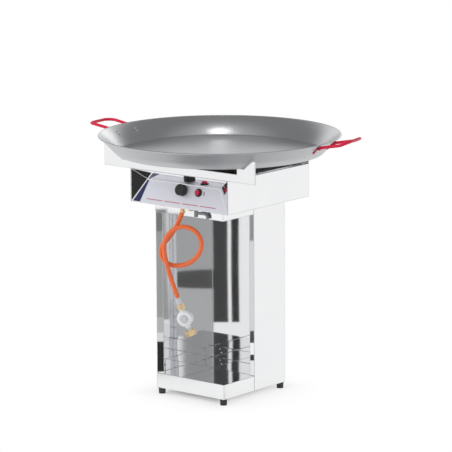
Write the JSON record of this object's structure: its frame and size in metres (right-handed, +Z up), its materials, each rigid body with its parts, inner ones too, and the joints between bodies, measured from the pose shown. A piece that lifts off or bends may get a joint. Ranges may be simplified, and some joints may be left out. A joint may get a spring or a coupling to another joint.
{
  "type": "gas grill",
  "caption": "Gas grill for street food: wide shallow pan with wire handles on a burner housing with knob and igniter, on a polished steel column with a hose and regulator.",
  "frame": {"origin": "on the floor under the middle of the pan", "axes": "+X to the stand's right as seen from the front, -Y to the front with the controls, +Z up"},
  "size_m": [0.9848, 0.8, 0.884],
  "materials": {
    "pan_steel": "satin polished, faint rings",
    "handle_red": "gloss red lacquer",
    "fixings": "bright plated steel",
    "polished_steel": "mirror polished stainless",
    "label": "satin printed overlay with a blue band and a thin red line",
    "brass": "turned",
    "black_plastic": "satin moulded",
    "red_plastic": "gloss moulded",
    "ceramic": "glazed ceramic with a wire tip",
    "lead_sheath": "silicone sheath",
    "copper": "copper tube",
    "cast_iron": "as cast",
    "pipe_grey": "dull grey coated",
    "hose_rubber": "matt extruded",
    "die_cast": "die cast, bead blasted",
    "grey_plastic": "moulded",
    "foot_rubber": "moulded"
  },
  "bodies": {
    "stand": {"front_pan_rest": "polished_steel", "rear_pan_rest": "polished_steel", "pan_rest_screws": "fixings", "housing_wrap": "polished_steel", "front_fascia": "polished_steel", "control_label": "label", "housing_floor": "polished_steel", "housing_screws": "fixings", "gas_valve_body": "brass", "valve_panel_nut": "fixings", "igniter_bezel": "black_plastic", "igniter_nut": "black_plastic", "igniter_body": "black_plastic", "spark_electrode": "ceramic", "ignition_lead": "lead_sheath", "thermocouple": "copper", "sensor_bracket": "fixings", "heat_shield": "polished_steel", "outer_burner_ring": "cast_iron", "inner_burner_ring": "cast_iron", "burner_arms": "cast_iron", "burner_legs": "fixings", "mixer_tube": "cast_iron", "air_shutter": "fixings", "jet_holder": "brass", "gas_jet": "brass", "supply_pipe": "copper", "floor_screws": "fixings", "inlet_connector": "brass", "inlet_manifold": "pipe_grey", "branch_elbow": "pipe_grey", "inlet_nuts": "fixings", "gas_hose": "hose_rubber", "upper_ferrule": "brass", "lower_ferrule": "fixings", "regulator_hose_nut": "brass", "regulator_body": "die_cast", "regulator_cap": "grey_plastic", "regulator_stem": "fixings", "column_wrap": "polished_steel", "column_collar": "polished_steel", "floor_tray": "polished_steel", "tray_screws": "fixings", "column_bolts": "fixings", "feet": "foot_rubber", "foot_screws": "fixings"},
    "pan": {"pan": "pan_steel", "pan_handle_right": "handle_red", "pan_handle_left": "handle_red", "handle_rivets": "fixings"},
    "plunger": {"valve_plunger": "brass"},
    "knob": {"control_knob": "black_plastic", "valve_spindle": "fixings"},
    "igniter_button": {"igniter_button": "red_plastic"},
    "cylinder_nut": {"cylinder_nut": "brass"}
  },
  "joints": [
    {"name": "pan_lift", "type": "slide", "parent": "stand", "child": "pan", "axis": [0, 0, 1], "range_m": [0, 0.15]},
    {"name": "knob_push", "type": "slide", "parent": "stand", "child": "plunger", "axis": [0, 0.9511, -0.3088], "range_m": [0, 0.004], "stiffness_N_per_m": 1500},
    {"name": "knob_turn", "type": "hinge", "parent": "plunger", "child": "knob", "pos_m": [0.007, -0.19409, 0.70417], "axis": [0, -0.9511, 0.3088], "range_deg": [0, 180]},
    {"name": "igniter_push", "type": "slide", "parent": "stand", "child": "igniter_button", "axis": [0, 0.9511, -0.3088], "range_m": [0, 0.006], "stiffness_N_per_m": 1200},
    {"name": "cylinder_nut_turn", "type": "hinge", "parent": "stand", "child": "cylinder_nut", "pos_m": [0.03045, -0.19115, 0.23158], "axis": [0.3373, 0.1228, -0.9333], "continuous": true}
  ]
}
